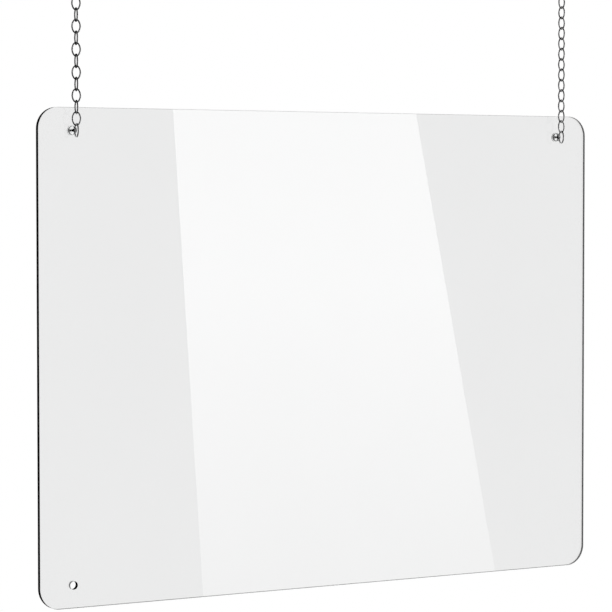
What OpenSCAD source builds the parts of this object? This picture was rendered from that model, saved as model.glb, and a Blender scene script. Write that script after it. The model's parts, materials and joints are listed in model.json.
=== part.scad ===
// Hanging clear sneeze guard: an acrylic panel on two link chains.
// All sizes are in millimetres and +Z is up.
// The origin is on the ceiling, halfway between the two hooks.
// The serving side faces -Y, so the panel hangs just behind the chains.

/* [Panel] */
// width of the clear panel
panel_w = 812.8; // [600:1:1200]
// height of the clear panel
panel_h = 609.6; // [400:1:900]
// thickness of the acrylic sheet
panel_t = 6.35; // [3:0.05:10]
// radius of the four rounded corners
corner_r = 26.5; // [10:0.5:60]
// width of the polished chamfer round the sheet
edge_chamfer = 0.15; // [0.1:0.05:1]
// diameter of each hole
hole_d = 10; // [6:0.5:14]
// distance from the side edge to each top hole's centre
hole_in_side = 46.4; // [30:0.1:80]
// distance from the left edge to the lower hole's centre
low_hole_in_side = 45.2; // [30:0.1:80]
// distance from the top or bottom edge to a hole's centre
hole_in_end = 28; // [20:1:60]

/* [Chain] */
// diameter of the chain wire
link_wire = 1.8; // [1.5:0.1:3]
// outside width of a link
link_w = 12; // [10:0.5:20]
// outside length of a link
link_l = 17.75; // [15:0.25:30]
// play between two linked wires
link_play = 0.25; // [0.2:0.05:0.5]
// turn of the left chain about its own length
left_twist = -8; // [-15:1:15]
// turn of the right chain about its own length
right_twist = 9; // [-15:1:15]
// how far the chains hang in front of the panel's front face
chain_out = 9.5; // [7:0.5:20]

/* [Eye bolts] */
// diameter of the bolt through the panel
bolt_d = 2.5; // [2:0.1:4]
// how far the bolt reaches behind the front face
bolt_reach = 10.3; // [9:0.1:14]
// diameter of the collar behind the eye
collar_d = 4; // [3.5:0.1:8]
// thickness of the collar
collar_t = 0.8; // [0.6:0.1:2]
// diameter of the clear washers
washer_d = 12; // [11.5:0.5:20]
// thickness of the clear washers
washer_t = 0.8; // [0.5:0.1:2]
// width of the nut across its flats
nut_af = 5; // [4.5:0.1:8]
// thickness of the nut
nut_t = 2; // [1.6:0.1:3]

/* [Ceiling hooks] */
// diameter of the hook wire
hook_wire = 3; // [2.5:0.1:5]
// bend radius of the hook, to the middle of the wire
hook_r = 7; // [6:0.5:12]
// length of the straight tip at the hook's open end
hook_tip = 1.5; // [0:0.5:4]
// length of the straight neck under the flange
hook_neck = 4; // [2:0.5:10]
// diameter of the flange that meets the ceiling
flange_d = 11; // [9:0.5:20]
// thickness of the flange
flange_t = 1.6; // [1:0.1:3]
// diameter of the screw shank in the ceiling
screw_d = 3.6; // [3:0.1:6]
// length of the screw shank in the ceiling
screw_l = 24; // [15:1:40]

/* [Node] */
// which sub-part to draw

/* [Hidden] */
$fn = 96;
link_count = 14;
// half sizes of a link, to the middle of the wire
link_b = (link_l - link_wire) / 2;
link_a = (link_w - link_wire) / 2;
link_pitch = 2 * link_b - link_wire - link_play;
// four arcs make the oval, and meet on lines that rise 3 for every 4 across
link_unit = (link_b - link_a) / 2;
link_end_r = link_a - link_unit;
link_side_r = link_a + 4 * link_unit;
link_c = 3 * link_unit;
// heights, all below the ceiling
hook_z = -flange_t - hook_neck - hook_r;
hook_seat_z = hook_z - hook_r;
top_link_z = hook_seat_z + (hook_wire + link_wire) / 2 + link_play - link_b;
eye_z = top_link_z - link_count * link_pitch;
panel_z = eye_z + hole_in_end - panel_h / 2;
// positions across and through the panel
hole_x = panel_w / 2 - hole_in_side;
front_y = chain_out;
back_y = front_y + panel_t;
// small gap where two clamped pieces meet
seat_gap = 0.02;
washer_bore = bolt_d + 0.3;
nut_bore = bolt_d + 0.06;

// ---- shapes shared by several pieces ----

// the arc of a wire ring of the given radius that lies inside a flat outline
module ring_arc(radius, wire, outline) {
    intersection() {
        rotate_extrude()
            translate([radius, 0])
                circle(d = wire);
        translate([0, 0, -wire])
            linear_extrude(height = 2 * wire)
                polygon(outline);
    }
}

// an oval ring of round wire in the X-Z plane, centred on the origin
module oval_ring(wire) {
    far = 4 * link_l;
    end_wedge = [[0, 0], [4, 3], [4, far], [-4, far], [-4, 3]] * link_unit * 3;
    side_wedge = [[0, 0], [4, 3], [4, -3]] * link_unit * 4;
    rotate([90, 0, 0]) {
        translate([0, link_c, 0])
            ring_arc(link_end_r, wire, end_wedge);
        mirror([0, 1, 0])
            translate([0, link_c, 0])
                ring_arc(link_end_r, wire, end_wedge);
        translate([link_a - link_side_r, 0, 0])
            ring_arc(link_side_r, wire, side_wedge);
        mirror([1, 0, 0])
            translate([link_a - link_side_r, 0, 0])
                ring_arc(link_side_r, wire, side_wedge);
    }
}

// one chain link, number 1 being the lowest, odd ones flat to the panel
module chain_link(side, number) {
    turn = number % 2 == 1 ? 0 : 90;
    twist = side < 0 ? left_twist : right_twist;
    translate([side * hole_x, 0, eye_z + number * link_pitch])
        rotate([0, 0, number < link_count ? turn + twist : turn])
            oval_ring(link_wire);
}

// a bar of sheet along X, with a chamfered edge on its two long sides
module sheet_bar(length, height) {
    t = panel_t / 2;
    h = height / 2;
    c = edge_chamfer;
    translate([-length / 2, 0, 0])
        rotate([90, 0, 90])
            linear_extrude(height = length)
                polygon([
                    [-t + c, -h], [t - c, -h], [t, -h + c], [t, h - c],
                    [t - c, h], [-t + c, h], [-t, h - c], [-t, -h + c]
                ]);
}

// the quarter-round corner of the sheet, made as a whole chamfered disc
module corner_disc() {
    t = panel_t / 2;
    c = edge_chamfer;
    rotate([90, 0, 0])
        rotate_extrude()
            polygon([
                [0, -t], [corner_r - c, -t], [corner_r, -t + c],
                [corner_r, t - c], [corner_r - c, t], [0, t]
            ]);
}

// a straight round bar along Y
module bar_y(from_y, to_y, d) {
    translate([0, from_y, 0])
        rotate([-90, 0, 0])
            cylinder(h = to_y - from_y, d = d);
}

module eye_bolt(side) {
    collar_end = front_y - washer_t - seat_gap;
    translate([side * hole_x, 0, eye_z])
        union() {
            rotate([0, 0, 90])
                oval_ring(link_wire);
            bar_y(link_a, front_y + bolt_reach, bolt_d);
            bar_y(collar_end - collar_t, collar_end, collar_d);
        }
}

module washer(side, from_y) {
    translate([side * hole_x, 0, eye_z])
        difference() {
            bar_y(from_y, from_y + washer_t - seat_gap, washer_d);
            bar_y(from_y - 1, from_y + washer_t + 1, washer_bore);
        }
}

module hex_nut(side) {
    start_y = back_y + washer_t + seat_gap;
    translate([side * hole_x, start_y, eye_z])
        rotate([-90, 0, 0])
            difference() {
                intersection() {
                    cylinder(h = nut_t, d = nut_af / cos(30), $fn = 6);
                    cylinder(h = nut_t, r1 = nut_af * 0.53, r2 = nut_af * 0.53 + nut_t);
                    cylinder(h = nut_t, r1 = nut_af * 0.53 + nut_t, r2 = nut_af * 0.53);
                }
                translate([0, 0, -1])
                    cylinder(h = nut_t + 2, d = nut_bore);
            }
}

// a quarter turn of hook wire in the X-Z plane, from direction 0 to 90 degrees, then turned
module wire_quarter(radius, turn) {
    rotate([90, 0, 0])
        rotate([0, 0, turn])
            rotate_extrude(angle = 90)
                translate([radius, 0])
                    circle(d = hook_wire);
}

// a screw-in ceiling hook: pointed shank, flange, neck and a question-mark bend
module ceiling_hook(side) {
    translate([side * hole_x, 0, 0])
        mirror([side < 0 ? 1 : 0, 0, 0]) {
            cylinder(h = screw_l - screw_d, d = screw_d);
            translate([0, 0, screw_l - screw_d])
                cylinder(h = screw_d, d1 = screw_d, d2 = 0.4);
            translate([0, 0, -flange_t])
                cylinder(h = flange_t, d = flange_d);
            translate([0, 0, hook_z + hook_r])
                cylinder(h = hook_neck + flange_t / 2, d = hook_wire);
            translate([hook_r / 2, 0, hook_z + hook_r])
                wire_quarter(hook_r / 2, 180);
            translate([hook_r / 2, 0, hook_z])
                wire_quarter(hook_r / 2, 0);
            translate([0, 0, hook_z]) {
                wire_quarter(hook_r, 180);
                wire_quarter(hook_r, 270);
                translate([-hook_r, 0, 0])
                    cylinder(h = hook_tip, d = hook_wire);
                translate([-hook_r, 0, hook_tip])
                    sphere(d = hook_wire);
            }
        }
}

// ---- the sub-parts ----

module acrylic_panel() {
    color([0.86, 0.91, 0.92, 0.35])
        translate([0, front_y + panel_t / 2, panel_z])
            difference() {
                union() {
                    sheet_bar(panel_w - 2 * corner_r, panel_h);
                    rotate([0, 90, 0])
                        sheet_bar(panel_h - 2 * corner_r, panel_w);
                    for (x = [-1, 1], z = [-1, 1])
                        translate([x * (panel_w / 2 - corner_r), 0, z * (panel_h / 2 - corner_r)])
                            corner_disc();
                }
                for (x = [-1, 1])
                    translate([x * hole_x, 0, panel_h / 2 - hole_in_end])
                        bar_y(-panel_t, panel_t, hole_d);
                translate([low_hole_in_side - panel_w / 2, 0, hole_in_end - panel_h / 2])
                    bar_y(-panel_t, panel_t, hole_d);
            }
}

module left_eye_bolt() {
    color([0.70, 0.71, 0.72])
        eye_bolt(-1);
}

module left_front_washer() {
    color([0.88, 0.92, 0.93, 0.35])
        washer(-1, front_y - washer_t);
}

module left_rear_washer() {
    color([0.88, 0.92, 0.93, 0.35])
        washer(-1, back_y + seat_gap);
}

module left_nut() {
    color([0.88, 0.92, 0.93, 0.35])
        hex_nut(-1);
}

module left_chain_link_01() {
    color([0.72, 0.73, 0.75])
        chain_link(-1, 1);
}

module left_chain_link_02() {
    color([0.72, 0.73, 0.75])
        chain_link(-1, 2);
}

module left_chain_link_03() {
    color([0.72, 0.73, 0.75])
        chain_link(-1, 3);
}

module left_chain_link_04() {
    color([0.72, 0.73, 0.75])
        chain_link(-1, 4);
}

module left_chain_link_05() {
    color([0.72, 0.73, 0.75])
        chain_link(-1, 5);
}

module left_chain_link_06() {
    color([0.72, 0.73, 0.75])
        chain_link(-1, 6);
}

module left_chain_link_07() {
    color([0.72, 0.73, 0.75])
        chain_link(-1, 7);
}

module left_chain_link_08() {
    color([0.72, 0.73, 0.75])
        chain_link(-1, 8);
}

module left_chain_link_09() {
    color([0.72, 0.73, 0.75])
        chain_link(-1, 9);
}

module left_chain_link_10() {
    color([0.72, 0.73, 0.75])
        chain_link(-1, 10);
}

module left_chain_link_11() {
    color([0.72, 0.73, 0.75])
        chain_link(-1, 11);
}

module left_chain_link_12() {
    color([0.72, 0.73, 0.75])
        chain_link(-1, 12);
}

module left_chain_link_13() {
    color([0.72, 0.73, 0.75])
        chain_link(-1, 13);
}

module left_chain_link_14() {
    color([0.72, 0.73, 0.75])
        chain_link(-1, 14);
}

module left_ceiling_hook() {
    color([0.75, 0.76, 0.78])
        ceiling_hook(-1);
}

module right_eye_bolt() {
    color([0.70, 0.71, 0.72])
        eye_bolt(1);
}

module right_front_washer() {
    color([0.88, 0.92, 0.93, 0.35])
        washer(1, front_y - washer_t);
}

module right_rear_washer() {
    color([0.88, 0.92, 0.93, 0.35])
        washer(1, back_y + seat_gap);
}

module right_nut() {
    color([0.88, 0.92, 0.93, 0.35])
        hex_nut(1);
}

module right_chain_link_01() {
    color([0.72, 0.73, 0.75])
        chain_link(1, 1);
}

module right_chain_link_02() {
    color([0.72, 0.73, 0.75])
        chain_link(1, 2);
}

module right_chain_link_03() {
    color([0.72, 0.73, 0.75])
        chain_link(1, 3);
}

module right_chain_link_04() {
    color([0.72, 0.73, 0.75])
        chain_link(1, 4);
}

module right_chain_link_05() {
    color([0.72, 0.73, 0.75])
        chain_link(1, 5);
}

module right_chain_link_06() {
    color([0.72, 0.73, 0.75])
        chain_link(1, 6);
}

module right_chain_link_07() {
    color([0.72, 0.73, 0.75])
        chain_link(1, 7);
}

module right_chain_link_08() {
    color([0.72, 0.73, 0.75])
        chain_link(1, 8);
}

module right_chain_link_09() {
    color([0.72, 0.73, 0.75])
        chain_link(1, 9);
}

module right_chain_link_10() {
    color([0.72, 0.73, 0.75])
        chain_link(1, 10);
}

module right_chain_link_11() {
    color([0.72, 0.73, 0.75])
        chain_link(1, 11);
}

module right_chain_link_12() {
    color([0.72, 0.73, 0.75])
        chain_link(1, 12);
}

module right_chain_link_13() {
    color([0.72, 0.73, 0.75])
        chain_link(1, 13);
}

module right_chain_link_14() {
    color([0.72, 0.73, 0.75])
        chain_link(1, 14);
}

module right_ceiling_hook() {
    color([0.75, 0.76, 0.78])
        ceiling_hook(1);
}

acrylic_panel();
left_eye_bolt();
left_front_washer();
left_rear_washer();
left_nut();
left_chain_link_01();
left_chain_link_02();
left_chain_link_03();
left_chain_link_04();
left_chain_link_05();
left_chain_link_06();
left_chain_link_07();
left_chain_link_08();
left_chain_link_09();
left_chain_link_10();
left_chain_link_11();
left_chain_link_12();
left_chain_link_13();
left_chain_link_14();
left_ceiling_hook();
right_eye_bolt();
right_front_washer();
right_rear_washer();
right_nut();
right_chain_link_01();
right_chain_link_02();
right_chain_link_03();
right_chain_link_04();
right_chain_link_05();
right_chain_link_06();
right_chain_link_07();
right_chain_link_08();
right_chain_link_09();
right_chain_link_10();
right_chain_link_11();
right_chain_link_12();
right_chain_link_13();
right_chain_link_14();
right_ceiling_hook();
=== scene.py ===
"""The looks of a hanging clear sneeze guard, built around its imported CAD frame. Lengths are in metres."""

import json
import math

import bmesh
import bpy
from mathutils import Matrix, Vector


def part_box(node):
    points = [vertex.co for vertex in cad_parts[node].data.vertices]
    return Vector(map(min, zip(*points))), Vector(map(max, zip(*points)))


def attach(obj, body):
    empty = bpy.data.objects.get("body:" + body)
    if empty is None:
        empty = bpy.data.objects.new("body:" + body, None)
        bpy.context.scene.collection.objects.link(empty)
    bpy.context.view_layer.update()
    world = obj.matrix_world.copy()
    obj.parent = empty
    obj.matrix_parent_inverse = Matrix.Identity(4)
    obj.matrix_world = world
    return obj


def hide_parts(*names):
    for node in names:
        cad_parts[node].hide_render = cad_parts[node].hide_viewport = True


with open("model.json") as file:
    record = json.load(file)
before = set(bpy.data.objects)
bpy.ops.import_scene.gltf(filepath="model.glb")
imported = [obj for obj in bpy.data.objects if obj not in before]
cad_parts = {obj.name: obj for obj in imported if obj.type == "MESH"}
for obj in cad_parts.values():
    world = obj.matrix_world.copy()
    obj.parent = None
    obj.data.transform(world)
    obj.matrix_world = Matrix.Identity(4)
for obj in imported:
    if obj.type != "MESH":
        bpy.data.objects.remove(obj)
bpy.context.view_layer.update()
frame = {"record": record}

MM = 0.001
SIDES = ("left", "right")
LINK_COUNT = 14
TURN = 2 * math.pi


def centre(node):
    """The middle of a CAD node's box."""
    low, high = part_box(node)
    return (low + high) / 2


def extent(node):
    """The size of a CAD node's box."""
    low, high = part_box(node)
    return high - low


def mount(name):
    """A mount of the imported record."""
    return next(m for m in frame["record"]["mounts"] if m["name"] == name)


# sizes read off the frame
PANEL_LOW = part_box("acrylic_panel")[0]
PANEL_MID = centre("acrylic_panel")
PANEL_SIZE = extent("acrylic_panel")
HOLE_R = mount("tie_down_hole")["dims"]["r_mm"] * MM
LOWER_HOLE = Vector(mount("tie_down_hole")["pos_m"])
WIRE_R = extent("left_chain_link_14").x / 2
LINK_HALF_W = extent("left_chain_link_14").y / 2 - WIRE_R
LINK_HALF_L = extent("left_chain_link_14").z / 2 - WIRE_R
SCREW_R = mount("left_ceiling_screw")["dims"]["r_mm"] * MM

# sizes that the frame's boxes do not give, the same as in the CAD source
CORNER_R = 26.5 * MM
EDGE_BEVEL = 0.15 * MM
TWIST = {"left": math.radians(-8), "right": math.radians(9)}
BOLT_R = 1.25 * MM
COLLAR_T = 0.8 * MM
SEAT_GAP = 0.02 * MM
WASHER_BORE_R = BOLT_R + 0.15 * MM
HOOK_WIRE_R = 1.5 * MM
HOOK_BEND_R = 7 * MM
HOOK_NECK = 4 * MM
HOOK_TIP = 1.5 * MM
FLANGE_R = 5.5 * MM
FLANGE_T = 1.6 * MM

# small details of the visual model
BEAD_RISE = 0.10
BEAD_PLACE = 1 / 8
BEAD_WIDTH = 0.018
BOLT_PITCH = 0.45 * MM
BOLT_ROOT_R = BOLT_R * 0.84
COLLAR_ROUND = 0.2 * MM
WASHER_ROUND = 0.1 * MM
NUT_BORE_R = BOLT_R + 0.04 * MM
NUT_MOUTH = 0.25 * MM
NUT_GROOVE = 0.06 * MM
SCREW_PITCH = 1.5 * MM
SCREW_ROOT_R = SCREW_R * 0.72
FLANGE_ROUND = 0.4 * MM
FLANGE_FILLET = 0.5 * MM


# ---- mesh building ----


class Shape:
    """Vertices and faces that grow part by part into one mesh."""

    def __init__(self):
        self.points = []
        self.faces = []

    def rings(self, rings, closed=False):
        """Joins rings of equal length into a skin, capped at both ends or, if closed, joined end to end."""
        start = len(self.points)
        n = len(rings[0])
        for ring in rings:
            self.points.extend(Vector(p) for p in ring)
        count = len(rings)
        for i in range(count if closed else count - 1):
            a = start + i * n
            b = start + ((i + 1) % count) * n
            for j in range(n):
                k = (j + 1) % n
                self.faces.append((a + j, a + k, b + k, b + j))
        if not closed:
            self.faces.append(tuple(range(start + n - 1, start - 1, -1)))
            last = start + (count - 1) * n
            self.faces.append(tuple(range(last, last + n)))

    def moved(self, rule):
        """Passes every point through a function."""
        self.points = [rule(p) for p in self.points]
        return self

    def add(self, other):
        """Takes in the points and faces of another shape."""
        start = len(self.points)
        self.points.extend(other.points)
        self.faces.extend(tuple(start + i for i in face) for face in other.faces)
        return self

    def object(self, name, material, body, node, slot, sharp=35):
        """Makes the Blender object, hangs it on its body and hides the CAD node that it stands for."""
        mesh = bpy.data.meshes.new(name)
        mesh.from_pydata([tuple(p) for p in self.points], [], self.faces)
        tidy_mesh(mesh)
        mesh.materials.append(material)
        for polygon in mesh.polygons:
            polygon.use_smooth = True
        mesh.set_sharp_from_angle(angle=math.radians(sharp))
        piece = bpy.data.objects.new(name, mesh)
        bpy.context.scene.collection.objects.link(piece)
        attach(piece, body)
        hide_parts(node)


def tidy_mesh(mesh):
    """Merges doubled points and turns every face outwards."""
    same_place = 1e-7
    work = bmesh.new()
    work.from_mesh(mesh)
    bmesh.ops.remove_doubles(work, verts=work.verts, dist=same_place)
    bmesh.ops.recalc_face_normals(work, faces=work.faces)
    work.to_mesh(mesh)
    work.free()


def sweep(path, radii, around=20, closed=False):
    """A round wire along a path in the X-Z plane, with a radius for each point of the path."""
    count = len(path)
    rings = []
    for i, (point, r) in enumerate(zip(path, radii)):
        before = path[i - 1] if closed or i > 0 else point
        after = path[(i + 1) % count] if closed or i < count - 1 else point
        along = (after - before).normalized()
        out = Vector((along.z, 0, -along.x))
        side = Vector((0, 1, 0))
        ring = []
        for j in range(around):
            a = TURN * j / around
            ring.append(point + out * (r * math.cos(a)) + side * (r * math.sin(a)))
        rings.append(ring)
    shape = Shape()
    shape.rings(rings, closed=closed)
    return shape


def lathe(profile, around=48, closed=False):
    """Turns a profile of (radius, height) points about Z."""
    shape = Shape()
    rings = []
    for r, z in profile:
        ring = []
        for j in range(around):
            a = TURN * j / around
            ring.append(Vector((r * math.cos(a), r * math.sin(a), z)))
        rings.append(ring)
    shape.rings(rings, closed=closed)
    return shape


def threaded_shaft(z0, z1, root, crest, pitch, point=0.0, around=32, steps=10):
    """A shaft with a helical thread; point is the length over which its end narrows, if it does."""
    tip_share, steepness = 0.08, 2.6
    length = z1 - z0
    count = max(4, int(length / pitch * steps))
    rings = []
    for i in range(count + 1):
        z = z0 + length * i / count
        ends = min(1.0, (z - z0) / pitch, (z1 - z) / pitch)
        narrow = min(1.0, tip_share + (z1 - z) / point) if point else 1.0
        ring = []
        for j in range(around):
            a = TURN * j / around
            phase = (z / pitch - a / TURN) % 1.0
            ridge = max(0.0, 1.0 - abs(phase - 0.5) * steepness)
            r = (root + (crest - root) * ridge * max(0.0, ends)) * narrow
            ring.append(Vector((r * math.cos(a), r * math.sin(a), z)))
        rings.append(ring)
    shape = Shape()
    shape.rings(rings)
    return shape


def disc_rim(radius, z0, z1, rounding):
    """Profile points up the rim of a disc, with both its edges rounded."""
    eased = rounding * 0.3
    return [
        (radius - rounding, z0),
        (radius - eased, z0 + eased),
        (radius, z0 + rounding),
        (radius, z1 - rounding),
        (radius - eased, z1 - eased),
        (radius - rounding, z1),
    ]


def oval_path(steps=24):
    """The middle of a link's wire in the X-Z plane: two end arcs joined smoothly by two long side arcs.

    The centres of neighbouring arcs are 4 units apart in X and 3 in Z, so the arcs meet at a 3-4-5 angle.
    """
    unit = (LINK_HALF_L - LINK_HALF_W) / 2
    end_r = LINK_HALF_W - unit
    side_r = LINK_HALF_W + 4 * unit
    join = math.atan2(3, 4)
    arcs = [
        (-4 * unit, 0, side_r, -join, join),
        (0, 3 * unit, end_r, join, math.pi - join),
        (4 * unit, 0, side_r, math.pi - join, math.pi + join),
        (0, -3 * unit, end_r, math.pi + join, TURN - join),
    ]
    points = []
    for x, z, r, start, end in arcs:
        for i in range(steps):
            a = start + (end - start) * i / steps
            points.append(Vector((x + r * math.cos(a), 0, z + r * math.sin(a))))
    return points


def arc_path(x, z, radius, start, end, steps):
    """Points round an arc in the X-Z plane, from one angle to another in degrees."""
    points = []
    for i in range(steps + 1):
        a = math.radians(start + (end - start) * i / steps)
        points.append(Vector((x + radius * math.cos(a), 0, z + radius * math.sin(a))))
    return points


def turned(angle):
    """A rule that turns a point about Z."""
    c, s = math.cos(angle), math.sin(angle)
    return lambda p: Vector((p.x * c - p.y * s, p.x * s + p.y * c, p.z))


def along_y(p):
    """Lays what was made along Z down along Y."""
    return Vector((p.x, p.z, -p.y))


def shifted(offset):
    """A rule that moves a point."""
    return lambda p: p + offset


# ---- materials ----

ACRYLIC_IOR = 1.49
STEEL_GRAIN = 0.02 * MM

# most of a noise texture's values lie between these two
NOISE_LOW = 0.3
NOISE_HIGH = 0.7


def new_material(name):
    material = bpy.data.materials.new(name)
    material.use_nodes = True
    tree = material.node_tree
    return material, tree, tree.nodes["Principled BSDF"]


def noise(tree, scale, detail=4.0, stretch=(1, 1, 1)):
    """A noise texture in object space."""
    place = tree.nodes.new("ShaderNodeTexCoord")
    mapping = tree.nodes.new("ShaderNodeMapping")
    mapping.inputs["Scale"].default_value = stretch
    texture = tree.nodes.new("ShaderNodeTexNoise")
    texture.inputs["Scale"].default_value = scale
    texture.inputs["Detail"].default_value = detail
    tree.links.new(place.outputs["Object"], mapping.inputs["Vector"])
    tree.links.new(mapping.outputs["Vector"], texture.inputs["Vector"])
    return texture.outputs["Fac"]


def ramp(tree, source, low, high):
    """Runs a noise value through two colours."""
    node = tree.nodes.new("ShaderNodeValToRGB")
    node.color_ramp.elements[0].position = NOISE_LOW
    node.color_ramp.elements[1].position = NOISE_HIGH
    node.color_ramp.elements[0].color = (*low, 1)
    node.color_ramp.elements[1].color = (*high, 1)
    tree.links.new(source, node.inputs["Fac"])
    return node.outputs["Color"]


def spread(tree, source, low, high):
    """Runs a noise value through a number range."""
    node = tree.nodes.new("ShaderNodeMapRange")
    node.inputs["From Min"].default_value = NOISE_LOW
    node.inputs["From Max"].default_value = NOISE_HIGH
    node.inputs["To Min"].default_value = low
    node.inputs["To Max"].default_value = high
    tree.links.new(source, node.inputs["Value"])
    return node.outputs["Result"]


def bump(tree, shader, source, distance, strength):
    node = tree.nodes.new("ShaderNodeBump")
    node.inputs["Distance"].default_value = distance
    node.inputs["Strength"].default_value = strength
    tree.links.new(source, node.inputs["Height"])
    tree.links.new(node.outputs["Normal"], shader.inputs["Normal"])


def clear_acrylic(name, tint, roughness):
    """Polished acrylic with faint handling marks."""
    material, tree, shader = new_material(name)
    shader.inputs["Transmission Weight"].default_value = 1.0
    shader.inputs["IOR"].default_value = ACRYLIC_IOR
    marks = noise(tree, scale=9, detail=3)
    cleaner = tuple(t + 0.006 for t in tint)
    tree.links.new(ramp(tree, marks, tint, cleaner), shader.inputs["Base Color"])
    tree.links.new(spread(tree, marks, 0.0, roughness), shader.inputs["Roughness"])
    return material


def plated_steel(name, dark, light, rough_low, rough_high):
    """Zinc-plated steel: cloudy in colour and shine, with a fine grain."""
    material, tree, shader = new_material(name)
    shader.inputs["Metallic"].default_value = 1.0
    clouds = noise(tree, scale=420, detail=5)
    smears = noise(tree, scale=900, detail=3)
    tree.links.new(ramp(tree, clouds, dark, light), shader.inputs["Base Color"])
    tree.links.new(spread(tree, smears, rough_low, rough_high), shader.inputs["Roughness"])
    bump(tree, shader, noise(tree, scale=2600, detail=2), STEEL_GRAIN, strength=0.35)
    return material


def painted_shade_edge(name):
    """The edge of a clear sheet, a near-black surface that takes up nearly all the light that reaches it:
    painted shade for the dark look a clear edge gets from how light runs along the sheet.
    """
    material, tree, shader = new_material(name)
    shader.inputs["IOR"].default_value = ACRYLIC_IOR
    saw_marks = noise(tree, scale=300, detail=3, stretch=(1, 12, 1))
    # near-black colour: painted shade, with faint saw marks in it
    colour = ramp(tree, saw_marks, (0.0005, 0.0005, 0.0005), (0.003, 0.003, 0.0032))
    tree.links.new(colour, shader.inputs["Base Color"])
    tree.links.new(spread(tree, saw_marks, 0.05, 0.16), shader.inputs["Roughness"])
    return material


ACRYLIC = clear_acrylic("clear_acrylic", (0.860, 0.862, 0.862), 0.012)
# the edge material is painted shade, not the acrylic's own colour
ACRYLIC_EDGE_PAINTED_SHADE = painted_shade_edge("acrylic_edge_painted_shade")
WASHER_CLEAR = clear_acrylic("clear_washer", (0.985, 0.99, 0.99), 0.02)
CHAIN_STEEL = plated_steel("chain_steel", (0.40, 0.40, 0.405), (0.58, 0.58, 0.585), 0.12, 0.24)
BOLT_STEEL = plated_steel("bolt_steel", (0.02, 0.02, 0.021), (0.045, 0.045, 0.047), 0.20, 0.34)
NUT_CLEAR = clear_acrylic("clear_nut", (0.95, 0.955, 0.955), 0.06)
HOOK_STEEL = plated_steel("hook_steel", (0.34, 0.34, 0.345), (0.48, 0.48, 0.485), 0.16, 0.30)


# ---- the panel ----


def closed_spline(curve, points):
    spline = curve.splines.new("POLY")
    spline.points.add(len(points) - 1)
    for target, (x, y) in zip(spline.points, points):
        target.co = (x, y, 0, 1)
    spline.use_cyclic_u = True


def rounded_outline(half_w, half_h, radius, steps=24):
    points = []
    for i, (sx, sz) in enumerate([(1, 1), (-1, 1), (-1, -1), (1, -1)]):
        for j in range(steps + 1):
            a = math.pi / 2 * (i + j / steps)
            x = sx * (half_w - radius) + radius * math.cos(a)
            z = sz * (half_h - radius) + radius * math.sin(a)
            points.append((x, z))
    return points


def circle_outline(x, z, radius, steps=64):
    points = []
    for i in range(steps):
        a = TURN * i / steps
        points.append((x + radius * math.cos(a), z + radius * math.sin(a)))
    return points


def make_panel():
    """The sheet: a rounded outline and three holes, drawn flat, thickened and given a polished bevel.

    Its walls are dark with painted shade, and so are the bevels that do not face up.
    """
    curve = bpy.data.curves.new("panel_outline", "CURVE")
    curve.dimensions = "2D"
    curve.fill_mode = "BOTH"
    curve.extrude = PANEL_SIZE.y / 2 - EDGE_BEVEL
    curve.bevel_depth = EDGE_BEVEL
    curve.bevel_resolution = 2
    curve.offset = -EDGE_BEVEL
    closed_spline(curve, rounded_outline(PANEL_SIZE.x / 2, PANEL_SIZE.z / 2, CORNER_R))
    bolt_axes = [centre(f"{side}_front_washer") for side in SIDES]
    for hole in [LOWER_HOLE, *bolt_axes]:
        closed_spline(curve, circle_outline(hole.x - PANEL_MID.x, hole.z - PANEL_MID.z, HOLE_R))
    draft = bpy.data.objects.new("panel_draft", curve)
    bpy.context.scene.collection.objects.link(draft)
    seen = draft.evaluated_get(bpy.context.evaluated_depsgraph_get())
    mesh = bpy.data.meshes.new_from_object(seen)
    bpy.data.objects.remove(draft)
    for vertex in mesh.vertices:
        x, z, y = vertex.co
        vertex.co = (x + PANEL_MID.x, y + PANEL_MID.y, z + PANEL_MID.z)
    tidy_mesh(mesh)
    mesh.materials.clear()
    mesh.materials.append(ACRYLIC)
    mesh.materials.append(ACRYLIC_EDGE_PAINTED_SHADE)
    # walls and the bevels that do not face up take the near-black edge material: painted shade
    wall_limit, bevel_limit, upward = 0.1, 0.99, 0.3
    for polygon in mesh.polygons:
        polygon.use_smooth = True
        facing = abs(polygon.normal.y)
        shaded_bevel = facing < bevel_limit and polygon.normal.z < upward
        polygon.material_index = 1 if facing < wall_limit or shaded_bevel else 0
    mesh.set_sharp_from_angle(angle=math.radians(10))
    panel = bpy.data.objects.new("panel_sheet", mesh)
    bpy.context.scene.collection.objects.link(panel)
    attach(panel, "panel")
    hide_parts("acrylic_panel")


# ---- the chains ----


def link_shape():
    """A link of round wire with a small weld bead in the middle of one long side.

    The bead's place and width are shares of the way round the link.
    """
    path = oval_path()
    radii = []
    for i in range(len(path)):
        gap = abs(i / len(path) - BEAD_PLACE)
        away = min(gap, 1 - gap)
        radii.append(WIRE_R * (1 + BEAD_RISE * math.exp(-((away / BEAD_WIDTH) ** 2))))
    return sweep(path, radii, closed=True)


def make_chain(side):
    """The links, number 1 lowest. Every second one stands crosswise, and the welds swap sides in pairs."""
    for number in range(1, LINK_COUNT + 1):
        node = f"{side}_chain_link_{number:02d}"
        body = {1: f"{side}_end_link", LINK_COUNT: f"{side}_top_link"}.get(number, f"{side}_chain")
        turn = 0 if number % 2 == 1 else math.pi / 2
        if number < LINK_COUNT:
            turn += TWIST[side]
        if number % 4 > 1:
            turn += math.pi
        shape = link_shape().moved(turned(turn)).moved(shifted(centre(node)))
        shape.object(f"{side}_link_{number:02d}", CHAIN_STEEL, body, node, "chain_steel")


# ---- the fastenings at the panel ----


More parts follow.
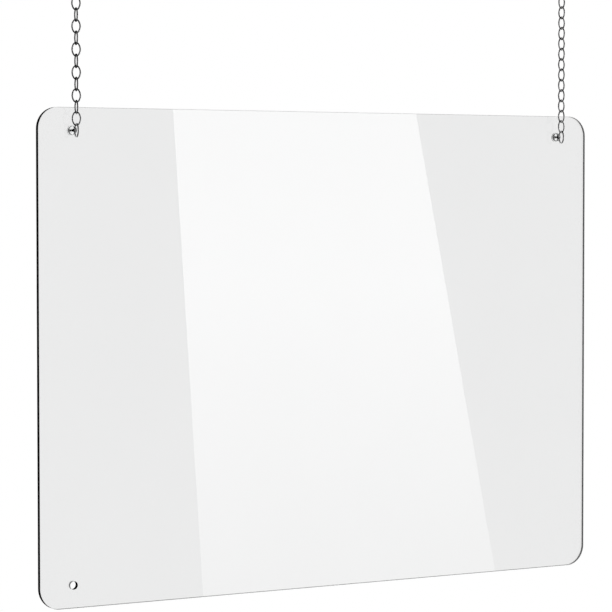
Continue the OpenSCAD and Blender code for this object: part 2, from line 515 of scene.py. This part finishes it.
def make_eye_bolt(side):
    """The oval eye, its collar and the threaded shank, which runs along +Y through the hole."""
    node = f"{side}_eye_bolt"
    low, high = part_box(node)
    collar_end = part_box(f"{side}_front_washer")[0].y - SEAT_GAP
    collar_start = collar_end - COLLAR_T
    collar_r = (high.x - low.x) / 2
    place = shifted(Vector((centre(node).x, 0, centre(node).z)))
    path = oval_path()
    eye = sweep(path, [WIRE_R] * len(path), closed=True).moved(turned(math.pi / 2)).moved(place)
    eye.object(f"{side}_eye", CHAIN_STEEL, "panel", node, "bolt_steel")
    core_r = BOLT_R * 0.9
    fillet_r = BOLT_R * 1.05
    neck = [
        (core_r, LINK_HALF_W),
        (BOLT_R, LINK_HALF_W + WIRE_R),
        (fillet_r, collar_start - COLLAR_ROUND),
        (BOLT_R + COLLAR_ROUND, collar_start),
        *disc_rim(collar_r, collar_start, collar_end, COLLAR_ROUND),
        (core_r, collar_end),
    ]
    shank = lathe(neck)
    overlap = 0.1 * MM
    shank.add(threaded_shaft(collar_end - overlap, high.y, BOLT_ROOT_R, BOLT_R, BOLT_PITCH))
    shank.moved(along_y).moved(place)
    shank.object(f"{side}_shank", BOLT_STEEL, "panel", node, "bolt_steel")


def make_washer(side, which):
    """A clear washer with rounded rims."""
    node = f"{side}_{which}_washer"
    low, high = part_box(node)
    outer = (high.x - low.x) / 2
    thick = high.y - low.y
    r = WASHER_ROUND
    steps = 4
    profile = []
    for cx, cz, start in [
        (outer - r, thick - r, 0),
        (WASHER_BORE_R + r, thick - r, 90),
        (WASHER_BORE_R + r, r, 180),
        (outer - r, r, 270),
    ]:
        for step in range(steps + 1):
            a = math.radians(start + 90 * step / steps)
            profile.append((cx + r * math.cos(a), cz + r * math.sin(a)))
    shape = lathe(profile, around=64, closed=True).moved(along_y)
    shape.moved(shifted(Vector((centre(node).x, low.y, centre(node).z))))
    shape.object(f"{side}_{which}_washer_clear", WASHER_CLEAR, "panel", node, "clear_washer")


def make_nut(side):
    """A clear hexagon nut with chamfered corners and a grooved bore."""
    node = f"{side}_nut"
    low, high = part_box(node)
    height = high.y - low.y
    flat = (high.z - low.z) / 2
    chamfer_r = flat * 1.06
    around = 96
    levels = 12

    def hex_radius(a):
        return flat / math.cos((a + math.pi / 6) % (math.pi / 3) - math.pi / 6)

    rings = []
    for i in range(levels + 1):
        z = height * i / levels
        cone = chamfer_r + min(z, height - z)
        ring = []
        for j in range(around):
            a = TURN * j / around
            r = min(hex_radius(a), cone)
            ring.append(Vector((-r * math.sin(a), r * math.cos(a), z)))
        rings.append(ring)
    for i in range(levels, -1, -1):
        z = height * i / levels
        mouth = max(0.0, NUT_MOUTH - min(z, height - z))
        r = NUT_BORE_R + mouth + NUT_GROOVE * (i % 2)
        ring = []
        for j in range(around):
            a = TURN * j / around
            ring.append(Vector((-r * math.sin(a), r * math.cos(a), z)))
        rings.append(ring)
    shape = Shape()
    shape.rings(rings, closed=True)
    shape.moved(along_y).moved(shifted(Vector((centre(node).x, low.y, centre(node).z))))
    shape.object(f"{side}_hex_nut", NUT_CLEAR, "panel", node, "clear_nut", sharp=25)


# ---- the ceiling hooks ----


def make_hook(side):
    """A screw hook: an open bend of wire with a rounded tip, a flange and a threaded, pointed shank."""
    node = f"{side}_ceiling_hook"
    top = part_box(node)[1]
    bend_z = -FLANGE_T - HOOK_NECK - HOOK_BEND_R
    half = HOOK_BEND_R / 2
    path = [Vector((0, 0, -FLANGE_T / 2)), Vector((0, 0, -FLANGE_T - HOOK_NECK / 2))]
    path += arc_path(half, bend_z + HOOK_BEND_R, half, 180, 270, steps=14)
    path += arc_path(half, bend_z, half, 90, 0, steps=14)[1:]
    path += arc_path(0, bend_z, HOOK_BEND_R, 0, -180, steps=48)[1:]
    path.append(path[-1] + Vector((0, 0, HOOK_TIP)))
    radii = [HOOK_WIRE_R] * len(path)
    tip_steps = 6
    tip_end_r = 0.02 * MM
    last = path[-1]
    for i in range(1, tip_steps + 1):
        a = math.pi / 2 * i / tip_steps
        path.append(last + Vector((0, 0, HOOK_WIRE_R * math.sin(a))))
        radii.append(max(HOOK_WIRE_R * math.cos(a), tip_end_r))
    shape = sweep(path, radii, around=28)
    inside_screw = SCREW_R * 0.8
    flange = [
        (HOOK_WIRE_R, -FLANGE_T - FLANGE_FILLET),
        (HOOK_WIRE_R + FLANGE_FILLET, -FLANGE_T),
        *disc_rim(FLANGE_R, -FLANGE_T, 0, FLANGE_ROUND),
        (inside_screw, 0),
    ]
    shape.add(lathe(flange))
    overlap = 0.2 * MM
    taper = 2 * SCREW_R
    screw = threaded_shaft(-overlap, top.z, SCREW_ROOT_R, SCREW_R, SCREW_PITCH, taper, around=40, steps=12)
    shape.add(screw)
    if side == "left":
        shape.moved(lambda p: Vector((-p.x, p.y, p.z)))
    shape.moved(shifted(Vector((mount(f"{side}_ceiling_screw")["pos_m"][0], 0, 0))))
    shape.object(f"{side}_hook", HOOK_STEEL, "ceiling", node, "hook_steel")


make_panel()
for side in SIDES:
    make_chain(side)
    make_eye_bolt(side)
    make_washer(side, "front")
    make_washer(side, "rear")
    make_nut(side)
    make_hook(side)


# ---- the studio ----


def quad(name, corners, material):
    """A flat card of four corners, as part of the set; its UV map runs up from the first two corners."""
    mesh = bpy.data.meshes.new(name)
    mesh.from_pydata([tuple(c) for c in corners], [], [(0, 1, 2, 3)])
    mesh.uv_layers.new(name="UVMap")
    for loop, uv in zip(mesh.uv_layers[0].data, [(0, 0), (1, 0), (1, 1), (0, 1)]):
        loop.uv = uv
    mesh.materials.append(material)
    card = bpy.data.objects.new(name, mesh)
    bpy.context.scene.collection.objects.link(card)
    return card


def only_in_reflections(card):
    """Makes a card that is seen only in glossy reflections and lights nothing else."""
    card.visible_camera = False
    card.visible_diffuse = False
    card.visible_transmission = False
    card.visible_shadow = False


def glow(name, low, high, full=1.0):
    """A light-giving surface that brightens from its bottom edge up to the given share of its height."""
    material = bpy.data.materials.new(name)
    material.use_nodes = True
    tree = material.node_tree
    tree.nodes.clear()
    out = tree.nodes.new("ShaderNodeOutputMaterial")
    light = tree.nodes.new("ShaderNodeEmission")
    place = tree.nodes.new("ShaderNodeTexCoord")
    split = tree.nodes.new("ShaderNodeSeparateXYZ")
    blend = tree.nodes.new("ShaderNodeMapRange")
    blend.inputs["From Max"].default_value = full
    blend.inputs["To Min"].default_value = low
    blend.inputs["To Max"].default_value = high
    tree.links.new(place.outputs["UV"], split.inputs["Vector"])
    tree.links.new(split.outputs["Y"], blend.inputs["Value"])
    tree.links.new(blend.outputs["Result"], light.inputs["Strength"])
    tree.links.new(light.outputs["Emission"], out.inputs["Surface"])
    return material


# the camera, measured from the middle of the panel's front face
CAMERA_FROM_PANEL = Vector((-1.7243, -2.8768, 0.1930))
CAMERA_YAW = math.radians(30.451)
CAMERA_PITCH = math.radians(-2.331)
CAMERA_ROLL = math.radians(0.0267)
CAMERA_LENS = 153.86
CAMERA_SENSOR = 36
FRONT_MID = Vector((PANEL_MID.x, PANEL_LOW.y, PANEL_MID.z))


def make_camera():
    camera = bpy.data.objects.new("camera", bpy.data.cameras.new("camera"))
    bpy.context.scene.collection.objects.link(camera)
    camera.data.lens = CAMERA_LENS
    camera.data.sensor_width = CAMERA_SENSOR
    camera.location = FRONT_MID + CAMERA_FROM_PANEL
    camera.rotation_euler = (math.pi / 2 + CAMERA_PITCH, CAMERA_ROLL, -CAMERA_YAW)
    bpy.context.scene.camera = camera
    return camera


def make_reflection_band(eye):
    """A tall softbox placed so that the panel's front face reflects it between four points of the face."""
    half = PANEL_SIZE.z / 2
    corners_on_panel = [(-0.1828, -half), (0.2606, -half), (0.1336, half), (-0.2237, half)]
    mirrored_eye = Vector((eye.x, 2 * FRONT_MID.y - eye.y, eye.z))
    card_y = -2.6
    corners = []
    for x, z in corners_on_panel:
        on_face = FRONT_MID + Vector((x, 0, z))
        way = on_face - mirrored_eye
        corners.append(on_face + way * ((card_y - on_face.y) / way.y))
    only_in_reflections(quad("softbox", corners, glow("softbox_light", low=1.32, high=3.06, full=0.64)))


def make_side_light(name, start, end, strength):
    """A tall card between two bearings, seen only in reflections, that lights one side of every wire."""
    distance, low, high = 4.0, -1.5, 1.5
    corners = []
    for angle, z in [(start, low), (end, low), (end, high), (start, high)]:
        a = math.radians(angle)
        corners.append((distance * math.cos(a), distance * math.sin(a), z))
    only_in_reflections(quad(name, corners, glow(f"{name}_glow", strength, strength)))


def make_flag():
    """A ring of dark cloth round the set, seen only in reflections, so that clear and shiny parts show."""
    radius, low, high, count = 6.0, -3.5, 2.6, 24
    cloth = 0.02
    material = glow("flag_cloth", cloth, cloth)
    for i in range(count):
        a = TURN * i / count
        b = TURN * (i + 1) / count
        corners = [
            (radius * math.cos(a), radius * math.sin(a), low),
            (radius * math.cos(b), radius * math.sin(b), low),
            (radius * math.cos(b), radius * math.sin(b), high),
            (radius * math.cos(a), radius * math.sin(a), high),
        ]
        only_in_reflections(quad(f"flag_{i:02d}", corners, material))
    for name, z in [("flag_top", high), ("flag_bottom", low)]:
        corners = [(-radius, -radius, z), (radius, -radius, z), (radius, radius, z), (-radius, radius, z)]
        only_in_reflections(quad(name, corners, material))


def make_floor():
    """A pale floor that fades into the white surroundings before its edge."""
    material, tree, shader = new_material("floor_paint")
    colour = ramp(tree, noise(tree, scale=3), (0.86, 0.86, 0.86), (0.90, 0.90, 0.90))
    tree.links.new(colour, shader.inputs["Base Color"])
    shader.inputs["Roughness"].default_value = 0.8
    reach = 4.0
    drop_below_panel = 1.0
    fade_start, fade_end = 0.3, 0.95
    place = tree.nodes.new("ShaderNodeTexCoord")
    distance = tree.nodes.new("ShaderNodeVectorMath")
    distance.operation = "LENGTH"
    fade = tree.nodes.new("ShaderNodeMapRange")
    fade.interpolation_type = "SMOOTHSTEP"
    fade.inputs["From Min"].default_value = fade_start * reach
    fade.inputs["From Max"].default_value = fade_end * reach
    clear = tree.nodes.new("ShaderNodeBsdfTransparent")
    mix = tree.nodes.new("ShaderNodeMixShader")
    flat = tree.nodes.new("ShaderNodeCombineXYZ")
    split = tree.nodes.new("ShaderNodeSeparateXYZ")
    tree.links.new(place.outputs["Object"], split.inputs["Vector"])
    tree.links.new(split.outputs["X"], flat.inputs["X"])
    tree.links.new(split.outputs["Y"], flat.inputs["Y"])
    tree.links.new(flat.outputs["Vector"], distance.inputs["Vector"])
    tree.links.new(distance.outputs["Value"], fade.inputs["Value"])
    tree.links.new(fade.outputs["Result"], mix.inputs["Fac"])
    tree.links.new(shader.outputs["BSDF"], mix.inputs[1])
    tree.links.new(clear.outputs["BSDF"], mix.inputs[2])
    tree.links.new(mix.outputs["Shader"], tree.nodes["Material Output"].inputs["Surface"])
    z = PANEL_LOW.z - drop_below_panel
    corners = [(-reach, -reach, z), (reach, -reach, z), (reach, reach, z), (-reach, reach, z)]
    floor = quad("floor", corners, material)
    floor.visible_glossy = False


def make_world():
    world = bpy.data.worlds.new("studio")
    world.use_nodes = True
    world.node_tree.nodes["Background"].inputs["Color"].default_value = (1, 1, 1, 1)
    world.node_tree.nodes["Background"].inputs["Strength"].default_value = 1.0
    bpy.context.scene.world = world
    bpy.context.scene.view_settings.view_transform = "Standard"
    bpy.context.scene.view_settings.look = "None"


camera = make_camera()
make_reflection_band(camera.location)
make_side_light("right_light", -42, -18, 1.5)
make_side_light("left_light", 138, 162, 1.0)
make_flag()
make_floor()
make_world()
